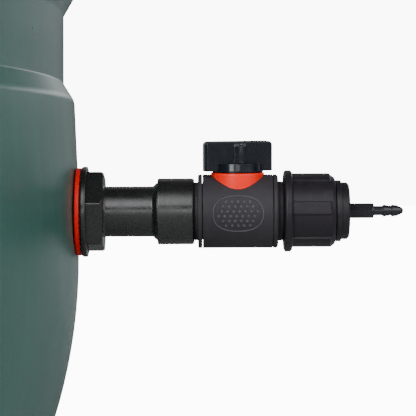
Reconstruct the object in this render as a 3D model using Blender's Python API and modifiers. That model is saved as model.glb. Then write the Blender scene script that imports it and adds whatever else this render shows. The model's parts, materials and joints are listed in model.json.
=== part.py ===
"""Rain barrel with its lid, leaf screen, overflow and drip-line tap, one object for each piece.

The origin is the middle of the barrel's flat base, +Z is up and the outlet points along +X.
The lengths in this file are millimetres, and MM turns them into metres. A turned piece is
given by its outer and inner lines, each a list of (place along the axis, radius), low end first.
"""

import math

import bmesh
import bpy
from mathutils import Matrix

MM = 0.001
GAP = 0.3  # left between pieces that touch

# Barrel
BARREL_R = 300.0
WALL = 4.0
BASE_R = 257.0
TAP_HEIGHT = 150.0
BELLY_DROP = 22.0  # below the tap's axis, where the wall starts to curve in towards the foot
BELLY_ARC = 250.0
RIM_TOP = 894.0
RIM_R = 276.0
HOOP_RISE = 59.0  # from the tap's axis up to the lowest hoop groove
HOOP_PITCH = 235.0
HOOP_COUNT = 3
HOOP_HEIGHT = 33.6
HOOP_DEPTH = 6.7
BARREL_STEPS = 32
FACET = 1 / math.cos(math.pi / BARREL_STEPS)  # makes the flats, not the corners, lie at the radius

# Lid and leaf screen, with heights counted from the rim's top
LID_R = 281.5
LID_THICK = 3.0
LID_SKIRT = 28.0
LID_TOP = 4.0
INLET_R = 85.0
INLET_SEAT = 14.0  # the flat ring round the inlet that carries the basket
PAN_R = 254.0
PAN_DROP = 9.0
SEAT_DROP = 14.0
SCREEN_DEPTH = 52.0
SCREEN_CELL = 24.0
SCREEN_SLOT = 19.0

# Tap, with places counted from the barrel's outer face
SMALL_STEPS = 24
THREAD_R = 13.1  # 3/4 inch pipe thread, made plain
THREAD_HOLE_R = 13.45
FLOW_R = 8.0
SHANK_END = -24.0
WASHER_R = 20.15
WASHER_HOLE_R = 13.6
WASHER_THICK = 2.3
INNER_WASHER_THICK = 2.5
FLANGE_R = 20.8
FLANGE_END = 5.1
HEX_R = 19.0
HEX_TURN = -11.3
HEX_END = 12.6
TUBE_R = 11.55
CONE_START = 35.0
NECK_R = 13.35
SOCKET_START = 37.3
SOCKET_END = 54.0
SOCKET_R = 15.2
VALVE_START = 55.7
VALVE_MID = 73.9
VALVE_R = 16.9
VALVE_BORE_R = 13.3
VALVE_HALF = 16.0
VALVE_FLOW_R = 7.5
SLEEVE = 5.1  # how far each end reaches into the valve body
SEAL_GROOVE_R = 11.2
SEAL_GROOVE = (1.2, 3.2)
VALVE_END = 92.3
BALL_R = 11.5
BALL_BORE_R = 6.5
BALL_SLOT = (30.0, 3.2, 8.0)
BALL_SLOT_HEIGHT = 12.2  # of the slot's middle above the tap's axis
SEAT_R = 12.3
SEAT_LENGTH = 3.5
SEAT_HOLE_R = 7.8
SEAT_CONE_R = 9.9
SEAT_CONE_START = 1.6
NUT_START = 95.0
NUT_END = 118.7
NUT_RIM_R = 18.75
NUT_RIM = 3.7
NUT_R = 17.35
NUT_PANEL_R = 16.6
NUT_LIP = 112.4
NUT_RIB_WIDTH = 5.9
NUT_RIB_ANGLES = (-4.5, -64.5, -124.5, 175.5, 115.5, 55.5)  # from -Y
NUT_WIDE_RIB_ANGLE = -82.5  # beside the second rib, and makes it twice as wide
TAIL_NECK_R = 10.0
COLLAR_STEP = 121.2
COLLAR_STEP_R = 14.1
TAIL_COLLAR_R = 13.1
TAIL_END = 124.9
STUB_END = 136.4
STUB_HEX_R = 3.955
BARB_END = 150.0
BARB_CORE_R = 2.2
BARB_RIDGE_R = 2.75
BARB_RIDGES = (140.8, 144.8)
BARB_BORE_R = 0.7
BARB_TIP = ((147.4, 2.35), (149.0, 1.7))  # places and radii of the bullet-shaped nose
BARB_TIP_R = 1.0

# Handle, with heights counted from the tap's axis
VALVE_ROLL = 3.7  # degrees that the valve leans to the front where its thread stops
HANDLE_TURN = 17.0  # degrees from the open position, where the bar lies along the pipe
COLLAR_R = 12.25
COLLAR_DEPTH_R = 13.0
COLLAR_TOP = 17.9
STEM_R = 4.2
STEM_HOLE_R = 4.5
STEM_FLANGE_R = 6.0
STEM_FLANGE_TOP = 12.9
STEM_FLANGE = 1.2
STEM_GROOVE = (14.0, 16.0)
STEM_GROOVE_R = 2.6
STEM_TOP = 18.0
STEM_SEAL = (3.6, 1.3)  # middle radius and thickness
TONGUE = (8.0, 2.6, 3.5)
TONGUE_HEIGHT = 10.3
DRIVE_LENGTH = 10.5
DRIVE_HEIGHT = 22.0
DRIVE_SIDE = 5.6
KNOB_BASE_R = 11.8
KNOB_BASE_TOP = 22.7
WING_LENGTH = 31.6
WING_THICK = 7.2
WING_TOP = 32.2
RIB_WIDTH = 6.5
RIB_DEPTH = 9.0
RIB_LOW = 20.0
RIB_TOP = 31.4
WING_ROUNDING = 1.6
KNOB_SOCKET_TOP = 27.6

# Overflow, on the far side from the tap
OVERFLOW_HEIGHT = 785.0
OVERFLOW_FLANGE_R = 22.0
OVERFLOW_FLANGE_END = 5.5
SPIGOT_R = 10.5
SPIGOT_RIDGE_R = 11.7
SPIGOT_END = 44.0

# The nuts inside the barrel
BACK_NUT_R = 20.5
BACK_NUT_RIM_R = 21.5
BACK_NUT_LENGTH = 10.0
BACK_NUT_RIM = 2.5

GREEN = ("green_polyethylene", (0.045, 0.105, 0.09), 0.38, 0.0)
BLACK = ("black_fitting_plastic", (0.018, 0.018, 0.017), 0.42, 0.0)
CHARCOAL = ("charcoal_valve_plastic", (0.040, 0.036, 0.040), 0.45, 0.0)
BLUE_BLACK = ("blue_black_handle_plastic", (0.012, 0.015, 0.020), 0.25, 0.0)
ORANGE = ("orange_collar_plastic", (0.86, 0.10, 0.03), 0.40, 0.0)
RED_RUBBER = ("red_washer_rubber", (0.80, 0.045, 0.025), 0.45, 0.0)
BLACK_RUBBER = ("black_seal_rubber", (0.012, 0.012, 0.012), 0.60, 0.0)
WHITE = ("white_seat_plastic", (0.75, 0.75, 0.73), 0.40, 0.0)
STEEL = ("screen_wire_steel", (0.56, 0.57, 0.58), 0.32, 1.0)


def clear_scene():
    for obj in list(bpy.data.objects):
        bpy.data.objects.remove(obj, do_unlink=True)


def new_collection(name):
    collection = bpy.data.collections.new(name)
    bpy.context.scene.collection.children.link(collection)
    return collection


def get_material(spec):
    name, colour, roughness, metallic = spec
    made = bpy.data.materials.get(name)
    if made is None:
        made = bpy.data.materials.new(name)
        made.use_nodes = True
        made.diffuse_color = (*colour, 1.0)
        shader = made.node_tree.nodes["Principled BSDF"]
        shader.inputs["Base Color"].default_value = (*colour, 1.0)
        shader.inputs["Roughness"].default_value = roughness
        shader.inputs["Metallic"].default_value = metallic
    return made


def smooth_by_angle_group(limit):
    """A node group that shades smooth every edge flatter than limit."""
    group = bpy.data.node_groups.new("smooth_by_angle", "GeometryNodeTree")
    group.interface.new_socket("Geometry", in_out="INPUT", socket_type="NodeSocketGeometry")
    group.interface.new_socket("Geometry", in_out="OUTPUT", socket_type="NodeSocketGeometry")
    start = group.nodes.new("NodeGroupInput")
    end = group.nodes.new("NodeGroupOutput")
    faces = group.nodes.new("GeometryNodeSetShadeSmooth")
    edges = group.nodes.new("GeometryNodeSetShadeSmooth")
    edges.domain = "EDGE"
    angle = group.nodes.new("GeometryNodeInputMeshEdgeAngle")
    flat = group.nodes.new("FunctionNodeCompare")
    flat.operation = "LESS_EQUAL"
    flat.inputs["B"].default_value = limit
    group.links.new(angle.outputs["Unsigned Angle"], flat.inputs["A"])
    group.links.new(flat.outputs["Result"], edges.inputs["Shade Smooth"])
    group.links.new(start.outputs["Geometry"], faces.inputs["Geometry"])
    group.links.new(faces.outputs["Geometry"], edges.inputs["Geometry"])
    group.links.new(edges.outputs["Geometry"], end.inputs["Geometry"])
    return group


class Workshop:
    """Makes the pieces and their cutters, and keeps each kind in its own collection."""

    def __init__(self):
        self.parts = new_collection("rain_barrel")
        self.cutters = new_collection("cutters")
        self.smoothing = smooth_by_angle_group(math.radians(35))

    def empty(self, name, place, turn=(0.0, 0.0, 0.0), parent=None):
        """A frame for pieces to hang on; turn is in degrees about X, Y and Z."""
        made = bpy.data.objects.new(name, None)
        made.location = [MM * value for value in place]
        made.rotation_euler = [math.radians(angle) for angle in turn]
        made.parent = parent
        made.empty_display_size = 0.02
        self.parts.objects.link(made)
        return made

    def part(self, name, mesh, parent, spec):
        made = bpy.data.objects.new(name, mesh)
        made.parent = parent
        mesh.materials.append(get_material(spec))
        self.parts.objects.link(made)
        return made

    def cutter(self, name, mesh, parent):
        made = bpy.data.objects.new(name, mesh)
        made.parent = parent
        made.hide_render = True
        made.display_type = "WIRE"
        self.cutters.objects.link(made)
        return made

    def finish(self, *made):
        """Adds the smoothing after a piece's last cut."""
        for obj in made:
            obj.modifiers.new("smooth_by_angle", "NODES").node_group = self.smoothing


def boolean(obj, other, operation):
    step = obj.modifiers.new(f"{operation.lower()}_{other.name}", "BOOLEAN")
    step.operation = operation
    step.solver = "EXACT"
    step.object = other


def outline_mesh(name, points, closed):
    """Edges through (radius, height) points in the XZ plane, for a Screw modifier."""
    mesh = bpy.data.meshes.new(name)
    corners = [(radius * MM, 0.0, height * MM) for radius, height in points]
    edges = [(i, i + 1) for i in range(len(corners) - 1)]
    if closed:
        edges.append((len(corners) - 1, 0))
    mesh.from_pydata(corners, edges, [])
    return mesh


def add_screw(obj, steps):
    screw = obj.modifiers.new("turn", "SCREW")
    screw.steps = steps
    screw.render_steps = steps
    screw.use_merge_vertices = True
    screw.merge_threshold = 0.00001
    screw.use_smooth_shade = True
    return obj


def turned_mesh(name, outer, inner=()):
    """The outline of a turned piece: solid, or a ring where inner is given."""
    down = [(radius, place) for place, radius in reversed(outer)]
    up = [(radius, place) for place, radius in inner]
    if up:
        return outline_mesh(name, down + up, closed=True)
    top = (0.0, outer[-1][0])
    bottom = (0.0, outer[0][0])
    return outline_mesh(name, [top, *down, bottom], closed=False)


def turned(shop, name, parent, spec, outer, inner=(), steps=SMALL_STEPS):
    return add_screw(shop.part(name, turned_mesh(name, outer, inner), parent, spec), steps)


def ring(shop, name, parent, spec, low, high, radius, hole, steps=SMALL_STEPS):
    """A flat washer or plain sleeve."""
    outer = [(low, radius), (high, radius)]
    inner = [(low, hole), (high, hole)]
    return turned(shop, name, parent, spec, outer, inner, steps)


def turned_cutter(shop, name, parent, outer, steps=SMALL_STEPS):
    return add_screw(shop.cutter(name, turned_mesh(name, outer), parent), steps)


def o_ring(shop, name, parent, place, radius, thickness):
    """A round-section seal ring, centred on place along the axis."""
    sides = 8
    section = []
    for i in range(sides):
        angle = -math.tau * i / sides
        section.append(
            (radius + thickness / 2 * math.cos(angle), place + thickness / 2 * math.sin(angle))
        )
    mesh = outline_mesh(name, section, closed=True)
    return add_screw(shop.part(name, mesh, parent, BLACK_RUBBER), SMALL_STEPS)


def prism_mesh(name, sides, radius, low, high, turn=0.0):
    """A straight prism about the Z axis, with a corner at -Y before it is turned."""
    mesh = bpy.data.meshes.new(name)
    bm = bmesh.new()
    bmesh.ops.create_cone(
        bm,
        cap_ends=True,
        segments=sides,
        radius1=radius * MM,
        radius2=radius * MM,
        depth=(high - low) * MM,
        matrix=Matrix.Translation((0, 0, (low + high) / 2 * MM))
        @ Matrix.Rotation(math.radians(turn), 4, "Z"),
    )
    bm.to_mesh(mesh)
    bm.free()
    return mesh


def add_box(bm, size, centre, turn=None):
    """Adds a box to bm; turn is applied after the box stands at its centre."""
    place = Matrix.Translation([value * MM for value in centre])
    stretch = Matrix.Diagonal([*(value * MM for value in size), 1.0])
    bmesh.ops.create_cube(bm, size=1.0, matrix=(turn or Matrix()) @ place @ stretch)


def box_mesh(name, size, centre):
    mesh = bpy.data.meshes.new(name)
    bm = bmesh.new()
    add_box(bm, size, centre)
    bm.to_mesh(mesh)
    bm.free()
    return mesh


def barrel_line():
    """The wall's outer line: a rounded foot, a belly at the tap, then grooves between hoops."""
    line = [(0.0, BASE_R), (3.5, BASE_R + 8.5)]
    belly = TAP_HEIGHT - BELLY_DROP
    for height in (12.0, 45.0, 75.0, 100.0, belly):
        line.append((height, BARREL_R - BELLY_ARC + math.sqrt(BELLY_ARC**2 - (belly - height) ** 2)))
    line.append((TAP_HEIGHT + 24.0, BARREL_R))
    for index in range(HOOP_COUNT):
        groove = TAP_HEIGHT + HOOP_RISE + index * HOOP_PITCH
        line += [
            (groove - 9.0, BARREL_R - 1.9),
            (groove - 3.2, BARREL_R - 4.5),
            (groove, BARREL_R - HOOP_DEPTH),
            (groove + HOOP_HEIGHT, BARREL_R - HOOP_DEPTH),
            (groove + HOOP_HEIGHT + 11.6, BARREL_R),
        ]
    line += [
        (RIM_TOP - 54.0, BARREL_R),
        (RIM_TOP - 42.0, BARREL_R - 4.0),
        (RIM_TOP - 33.0, RIM_R + 3.0),
        (RIM_TOP - 30.0, RIM_R),
        (RIM_TOP, RIM_R),
    ]
    return line


def make_barrel(shop, base, tap, overflow):
    line = barrel_line()
    outer = [(radius * FACET, height) for height, radius in line]
    inner = [((radius - WALL) * FACET, max(height, WALL)) for height, radius in line]
    points = [(0.0, WALL), *inner, *reversed(outer), (0.0, 0.0)]
    mesh = outline_mesh("barrel_shell", points, closed=False)
    shell = add_screw(shop.part("barrel_shell", mesh, base, GREEN), BARREL_STEPS)
    shell.rotation_euler.z = math.pi / BARREL_STEPS
    for name, parent in (("tap_hole", tap), ("overflow_hole", overflow)):
        hole = prism_mesh(name, SMALL_STEPS, THREAD_R + 0.6, -20.0, 20.0)
        boolean(shell, shop.cutter(name, hole, parent), "DIFFERENCE")
    shop.finish(shell)


def make_lid(shop, rim):
    """A push-on lid whose top is a shallow pan that drains to the inlet in its middle."""
    outer = [
        (-LID_SKIRT, LID_R),
        (2.0, LID_R),
        (LID_TOP, LID_R - 2.5),
        (LID_TOP, PAN_R + 6.0),
        (-PAN_DROP, PAN_R),
        (-SEAT_DROP, INLET_R + INLET_SEAT),
        (-SEAT_DROP, INLET_R),
    ]
    inner = [
        (-LID_SKIRT, LID_R - LID_THICK),
        (GAP, LID_R - LID_THICK),
        (GAP, PAN_R + 10.0),
        (-PAN_DROP - LID_THICK, PAN_R + 2.0),
        (-SEAT_DROP - LID_THICK, INLET_R + INLET_SEAT),
        (-SEAT_DROP - LID_THICK, INLET_R),
    ]
    outer = [(place, radius * FACET) for place, radius in outer]
    inner = [(place, radius * FACET) for place, radius in inner]
    lid = turned(shop, "lid", rim, GREEN, outer, inner, BARREL_STEPS)
    lid.rotation_euler.z = math.pi / BARREL_STEPS
    shop.finish(lid)


def screen_slots_mesh():
    """Square holes for the basket's floor, as many as its radius holds."""
    mesh = bpy.data.meshes.new("screen_slots")
    bm = bmesh.new()
    reach = INLET_R - 16.0
    for column in range(-3, 4):
        for row in range(-3, 4):
            x = column * SCREEN_CELL
            y = row * SCREEN_CELL
            if math.hypot(abs(x) + SCREEN_SLOT / 2, abs(y) + SCREEN_SLOT / 2) < reach:
                add_box(bm, (SCREEN_SLOT, SCREEN_SLOT, 20.0), (x, y, -SEAT_DROP - SCREEN_DEPTH))
    bm.to_mesh(mesh)
    bm.free()
    return mesh


def make_leaf_screen(shop, rim):
    """A basket that drops into the lid's inlet, with a wire mesh held on its floor by a ring."""
    top = -SEAT_DROP + GAP
    floor = -SEAT_DROP - SCREEN_DEPTH
    basket = turned(
        shop,
        "leaf_screen_basket",
        rim,
        BLACK,
        [
            (floor - 2.0, INLET_R - 6.0),
            (top, INLET_R - 2.0),
            (top, INLET_R + 9.0),
            (top + 2.0, INLET_R + 9.0),
            (top + 2.0, INLET_R - 4.2),
            (floor, INLET_R - 8.2),
        ],
    )
    slots = shop.cutter("screen_slots", screen_slots_mesh(), rim)
    boolean(basket, slots, "DIFFERENCE")
    screen = turned(
        shop,
        "leaf_screen_mesh",
        rim,
        STEEL,
        [(floor + GAP, INLET_R - 9.2), (floor + GAP + 0.8, INLET_R - 9.2)],
    )
    low = floor + GAP + 0.8 + GAP
    clamp = ring(
        shop, "leaf_screen_ring", rim, BLACK, low, low + 4.0, INLET_R - 9.4, INLET_R - 16.0
    )
    shop.finish(basket, screen, clamp)


def make_tank_connector(shop, tap):
    """Threaded shank through the wall, flange, hexagon and tube, ending in a female socket."""
    connector = turned(
        shop,
        "tank_connector",
        tap,
        BLACK,
        [
            (SHANK_END, THREAD_R - 1.0),
            (SHANK_END + 1.5, THREAD_R),
            (WASHER_THICK + GAP, THREAD_R),
            (WASHER_THICK + GAP, FLANGE_R),
            (FLANGE_END, FLANGE_R),
            (FLANGE_END, TUBE_R),
            (CONE_START, TUBE_R),
            (SOCKET_START - 0.3, NECK_R),
            (SOCKET_START, SOCKET_R),
            (SOCKET_END, SOCKET_R),
        ],
    )
    hexagon = shop.cutter(
        "connector_hexagon", prism_mesh("connector_hexagon", 6, HEX_R, 4.0, HEX_END, HEX_TURN), tap
    )
    bore = turned_cutter(
        shop,
        "connector_bore",
        tap,
        [
            (SHANK_END - 5.0, FLOW_R),
            (SOCKET_START + 1.2, FLOW_R),
            (SOCKET_START + 1.2, THREAD_HOLE_R),
            (SOCKET_END + 5.0, THREAD_HOLE_R),
        ],
    )
    boolean(connector, hexagon, "UNION")
    boolean(connector, bore, "DIFFERENCE")
    shop.finish(connector)


def make_back_nut(shop, name, parent, start):
    """The flanged hexagon nut that clamps a fitting from inside the barrel."""
    grip = prism_mesh(name, 6, BACK_NUT_R, start - BACK_NUT_LENGTH, start - BACK_NUT_RIM / 2, 15.0)
    nut = shop.part(name, grip, parent, BLACK)
    rim = prism_mesh(f"{name}_rim", SMALL_STEPS, BACK_NUT_RIM_R, start - BACK_NUT_RIM, start)
    face = shop.cutter(f"{name}_rim", rim, parent)
    hole = shop.cutter(
        f"{name}_hole",
        prism_mesh(f"{name}_hole", SMALL_STEPS, THREAD_HOLE_R, start - 30.0, start + 20.0),
        parent,
    )
    boolean(nut, face, "UNION")
    boolean(nut, hole, "DIFFERENCE")
    shop.finish(nut)


def make_valve_ends(shop, tap):
    """The two male stubs that close the valve body and press the seats against the ball."""
    body_start = VALVE_MID - VALVE_HALF
    body_end = VALVE_MID + VALVE_HALF
    sleeve_r = VALVE_BORE_R - GAP
    near, far = SEAL_GROOVE
    inlet = turned(
        shop,
        "valve_inlet_end",
        tap,
        CHARCOAL,
        [
            (SOCKET_START + 1.7, THREAD_R - 0.7),
            (SOCKET_START + 2.7, THREAD_R),
            (SOCKET_END + GAP, THREAD_R),
            (SOCKET_END + GAP, NECK_R),
            (VALVE_START, NECK_R),
            (VALVE_START, VALVE_R),
            (body_start - GAP, VALVE_R),
            (body_start - GAP, sleeve_r),
            (body_start + near, sleeve_r),
            (body_start + near, SEAL_GROOVE_R),
            (body_start + far, SEAL_GROOVE_R),
            (body_start + far, sleeve_r),
            (body_start + SLEEVE, sleeve_r),
        ],
        [(SOCKET_START + 1.7, VALVE_FLOW_R), (body_start + SLEEVE, VALVE_FLOW_R)],
    )
    outlet = turned(
        shop,
        "valve_outlet_end",
        tap,
        CHARCOAL,
        [
            (body_end - SLEEVE, sleeve_r),
            (body_end - far, sleeve_r),
            (body_end - far, SEAL_GROOVE_R),
            (body_end - near, SEAL_GROOVE_R),
            (body_end - near, sleeve_r),
            (body_end + GAP, sleeve_r),
            (body_end + GAP, VALVE_R),
            (VALVE_END - 0.6, VALVE_R),
            (VALVE_END, VALVE_R - 0.6),
            (VALVE_END, THREAD_R),
            (NUT_START + 11.5, THREAD_R),
            (NUT_START + 12.5, THREAD_R - 0.7),
        ],
        [(body_end - SLEEVE, VALVE_FLOW_R), (NUT_START + 12.5, VALVE_FLOW_R)],
    )
    middle = (near + far) / 2
    thickness = 1.6
    ring_r = SEAL_GROOVE_R + GAP + thickness / 2
    inlet_seal = o_ring(shop, "inlet_o_ring", tap, body_start + middle, ring_r, thickness)
    outlet_seal = o_ring(shop, "outlet_o_ring", tap, body_end - middle, ring_r, thickness)
    shop.finish(inlet, outlet, inlet_seal, outlet_seal)


def make_seats(shop, tap):
    """A ring each side of the ball, with a cone that the ball seals on."""
    for name, side in (("inlet_seat", -1), ("outlet_seat", 1)):
        back = VALVE_HALF - SLEEVE - GAP
        front = back - SEAT_LENGTH
        outer = [(VALVE_MID + side * back, SEAT_R), (VALVE_MID + side * front, SEAT_R)]
        inner = [
            (VALVE_MID + side * back, SEAT_HOLE_R),
            (VALVE_MID + side * (back - SEAT_CONE_START), SEAT_HOLE_R),
            (VALVE_MID + side * front, SEAT_CONE_R),
        ]
        if side > 0:
            outer.reverse()
            inner.reverse()
        shop.finish(turned(shop, name, tap, WHITE, outer, inner))


def make_valve_body(shop, tap, valve):
    body = ring(
        shop,
        "valve_body",
        tap,
        CHARCOAL,
        VALVE_MID - VALVE_HALF,
        VALVE_MID + VALVE_HALF,
        VALVE_R,
        VALVE_BORE_R,
        steps=32,
    )
    hole = turned_cutter(
        shop,
        "stem_hole",
        valve,
        [
            (5.0, STEM_FLANGE_R + GAP),
            (STEM_FLANGE_TOP + GAP, STEM_FLANGE_R + GAP),
            (STEM_FLANGE_TOP + GAP, STEM_HOLE_R),
            (25.0, STEM_HOLE_R),
        ],
    )
    boolean(body, hole, "DIFFERENCE")
    shop.finish(body)


def make_ball(shop, handle):
    mesh = bpy.data.meshes.new("valve_ball")
    bm = bmesh.new()
    bmesh.ops.create_uvsphere(bm, u_segments=SMALL_STEPS, v_segments=12, radius=BALL_R * MM)
    bm.to_mesh(mesh)
    bm.free()
    ball = shop.part("valve_ball", mesh, handle, WHITE)
    bore = shop.cutter(
        "ball_bore", prism_mesh("ball_bore", SMALL_STEPS, BALL_BORE_R, -20.0, 20.0), handle
    )
    bore.rotation_euler.y = math.pi / 2
    slot = shop.cutter("ball_slot", box_mesh("ball_slot", BALL_SLOT, (0, 0, BALL_SLOT_HEIGHT)), handle)
    boolean(ball, bore, "DIFFERENCE")
    boolean(ball, slot, "DIFFERENCE")
    shop.finish(ball)


def make_stem(shop, handle):
    """Flanged stem with a seal groove, a tongue for the ball below and a square drive above."""
    stem = turned(
        shop,
        "valve_stem",
        handle,
        BLACK,
        [
            (STEM_FLANGE_TOP - STEM_FLANGE, STEM_FLANGE_R),
            (STEM_FLANGE_TOP, STEM_FLANGE_R),
            (STEM_FLANGE_TOP, STEM_R),
            (STEM_GROOVE[0], STEM_R),
            (STEM_GROOVE[0], STEM_GROOVE_R),
            (STEM_GROOVE[1], STEM_GROOVE_R),
            (STEM_GROOVE[1], STEM_R),
            (STEM_TOP, STEM_R),
        ],
    )
    tongue = shop.cutter(
        "stem_tongue", box_mesh("stem_tongue", TONGUE, (0, 0, TONGUE_HEIGHT)), handle
    )
    drive_size = (DRIVE_SIDE, DRIVE_SIDE, DRIVE_LENGTH)
    drive = shop.cutter(
        "stem_drive", box_mesh("stem_drive", drive_size, (0, 0, DRIVE_HEIGHT)), handle
    )
    boolean(stem, tongue, "UNION")
    boolean(stem, drive, "UNION")
    seal = o_ring(shop, "stem_o_ring", handle, sum(STEM_GROOVE) / 2, *STEM_SEAL)
    shop.finish(stem, seal)


def make_collar(shop, tap, valve):
    """The saddle between the round valve body and the flat underside of the knob."""
    collar = shop.part(
        "stem_collar", prism_mesh("stem_collar", 32, COLLAR_R, 8.0, COLLAR_TOP), valve, ORANGE
    )
    for corner in collar.data.vertices:
        corner.co.y *= COLLAR_DEPTH_R / COLLAR_R
    saddle = shop.cutter(
        "collar_saddle",
        prism_mesh("collar_saddle", 48, VALVE_R + GAP, VALVE_MID - 30.0, VALVE_MID + 30.0),
        tap,
    )
    hole = shop.cutter(
        "collar_hole", prism_mesh("collar_hole", SMALL_STEPS, STEM_HOLE_R + 0.3, 5.0, 25.0), valve
    )
    boolean(collar, saddle, "DIFFERENCE")
    boolean(collar, hole, "DIFFERENCE")
    shop.finish(collar)


def make_knob(shop, handle):
    """A round base and a bar to turn it by, with a rounded rib down the middle of each side."""
    wing_low = COLLAR_TOP + 0.7
    knob = shop.part(
        "valve_knob",
        box_mesh(
            "valve_knob",
            (WING_LENGTH, WING_THICK, WING_TOP - wing_low),
            (0, 0, (WING_TOP + wing_low) / 2),
        ),
        handle,
        BLUE_BLACK,
    )
    edges = knob.modifiers.new("rounding", "BEVEL")
    edges.width = WING_ROUNDING * MM
    edges.segments = 3
    base = shop.cutter(
        "knob_base",
        prism_mesh("knob_base", 32, KNOB_BASE_R, COLLAR_TOP + GAP, KNOB_BASE_TOP),
        handle,
    )
    rib_size = (RIB_WIDTH, RIB_DEPTH, RIB_TOP - RIB_LOW)
    rib = shop.cutter(
        "knob_rib", box_mesh("knob_rib", rib_size, (0, 0, (RIB_TOP + RIB_LOW) / 2)), handle
    )
    socket_low = 9.6
    socket_side = DRIVE_SIDE + 2 * GAP
    socket_size = (socket_side, socket_side, KNOB_SOCKET_TOP - socket_low)
    socket = shop.cutter(
        "knob_socket",
        box_mesh("knob_socket", socket_size, (0, 0, (KNOB_SOCKET_TOP + socket_low) / 2)),
        handle,
    )
    boolean(knob, base, "UNION")
    boolean(knob, rib, "UNION")
    boolean(knob, socket, "DIFFERENCE")
    shop.finish(knob)


def nut_ribs_mesh(name, angles):
    """Grip ribs for the nut, as boxes set round its axis."""
    mesh = bpy.data.meshes.new(name)
    bm = bmesh.new()
    low = NUT_START + 2.5
    high = NUT_END - 2.5
    depth = 3.0
    for angle in angles:
        turn = Matrix.Rotation(math.radians(angle - 90.0), 4, "Z")
        place = (math.sqrt(NUT_R**2 - (NUT_RIB_WIDTH / 2) ** 2) - depth / 2, 0, (low + high) / 2)
        add_box(bm, (depth, NUT_RIB_WIDTH, high - low), place, turn)
    bm.to_mesh(mesh)
    bm.free()
    return mesh


def make_swivel_nut(shop, tap):
    """The hand-tightened nut that pulls the outlet tail against the end of the valve."""
    nut = turned(
        shop,
        "swivel_nut",
        tap,
        BLACK,
        [
            (NUT_START, NUT_RIM_R - 0.4),
            (NUT_START + 0.5, NUT_RIM_R),
            (NUT_START + NUT_RIM - 0.5, NUT_RIM_R),
            (NUT_START + NUT_RIM, NUT_RIM_R - 0.4),
            (NUT_START + NUT_RIM, NUT_PANEL_R),
            (NUT_END - 2.3, NUT_PANEL_R),
            (NUT_END - 0.8, NUT_PANEL_R - 0.8),
            (NUT_END - GAP, NUT_PANEL_R - 1.6),
        ],
        [
            (NUT_START, THREAD_HOLE_R),
            (NUT_LIP, THREAD_HOLE_R),
            (NUT_LIP, TAIL_NECK_R + GAP),
            (NUT_END - GAP, TAIL_NECK_R + GAP),
        ],
    )
    for name, angles in (("nut_ribs", NUT_RIB_ANGLES), ("nut_wide_rib", (NUT_WIDE_RIB_ANGLE,))):
        boolean(nut, shop.cutter(name, nut_ribs_mesh(name, angles), tap), "UNION")
    shop.finish(nut)


def make_outlet_tail(shop, tap):
    """What the nut clamps: a seal, a flanged tail, its retaining collar and the barbed spigot."""
    seal_start = NUT_START + 12.5 + GAP
    flange_start = seal_start + 1.8 + GAP
    seal = ring(
        shop, "outlet_flat_seal", tap, BLACK_RUBBER, seal_start, seal_start + 1.8, 13.0, VALVE_FLOW_R
    )
    tail = turned(
        shop,
        "outlet_tail",
        tap,
        BLACK,
        [
            (flange_start, THREAD_R),
            (NUT_LIP - GAP, THREAD_R),
            (NUT_LIP - GAP, TAIL_NECK_R),
            (TAIL_END - GAP, TAIL_NECK_R),
        ],
        [(flange_start, 6.0), (115.0, 6.0), (115.0, 5.1), (TAIL_END - GAP, 5.1)],
    )
    collar = turned(
        shop,
        "tail_collar",
        tap,
        BLACK,
        [
            (NUT_END, COLLAR_STEP_R),
            (COLLAR_STEP, COLLAR_STEP_R),
            (COLLAR_STEP, TAIL_COLLAR_R),
            (TAIL_END - 1.0, TAIL_COLLAR_R),
            (TAIL_END, TAIL_COLLAR_R - 1.0),
        ],
        [(NUT_END, TAIL_NECK_R + GAP), (TAIL_END, TAIL_NECK_R + GAP)],
    )
    stem_r = 4.8
    hidden_r = 3.0  # inside the hexagon
    barb = turned(
        shop,
        "barb_connector",
        tap,
        BLACK,
        [
            (116.0, stem_r - 0.5),
            (116.5, stem_r),
            (TAIL_END, stem_r),
            (TAIL_END, hidden_r),
            (STUB_END - 0.5, hidden_r),
            (STUB_END - 0.5, BARB_CORE_R),
            (BARB_RIDGES[0], BARB_CORE_R),
            (BARB_RIDGES[0], BARB_RIDGE_R),
            (BARB_RIDGES[0] + 1.9, BARB_CORE_R),
            (BARB_RIDGES[1], BARB_CORE_R),
            (BARB_RIDGES[1], BARB_RIDGE_R),
            *BARB_TIP,
            (BARB_END, BARB_TIP_R),
        ],
    )
    hexagon = shop.cutter(
        "stub_hexagon",
        prism_mesh("stub_hexagon", 6, STUB_HEX_R, TAIL_END - 0.2, STUB_END),
        tap,
    )
    bore = shop.cutter("barb_bore", prism_mesh("barb_bore", 12, BARB_BORE_R, 110.0, 160.0), tap)
    boolean(barb, hexagon, "UNION")
    boolean(barb, bore, "DIFFERENCE")
    shop.finish(seal, tail, collar, barb)


def make_overflow(shop, overflow):
    """A hose spigot clamped through the wall near the rim."""
    ridges = (26.0, 35.0)
    spigot = turned(
        shop,
        "overflow_spigot",
        overflow,
        BLACK,
        [
            (SHANK_END, THREAD_R),
            (WASHER_THICK + GAP, THREAD_R),
            (WASHER_THICK + GAP, OVERFLOW_FLANGE_R),
            (OVERFLOW_FLANGE_END, OVERFLOW_FLANGE_R),
            (OVERFLOW_FLANGE_END, SPIGOT_R),
            (ridges[0], SPIGOT_R),
            (ridges[0], SPIGOT_RIDGE_R),
            (ridges[0] + 7.0, SPIGOT_R),
            (ridges[1], SPIGOT_R),
            (ridges[1], SPIGOT_RIDGE_R),
            (SPIGOT_END, SPIGOT_R - 0.8),
        ],
        [(SHANK_END, FLOW_R), (SPIGOT_END, FLOW_R)],
    )
    seal = ring(
        shop, "overflow_washer", overflow, BLACK_RUBBER, GAP, WASHER_THICK, WASHER_R, WASHER_HOLE_R
    )
    shop.finish(spigot, seal)


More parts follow.
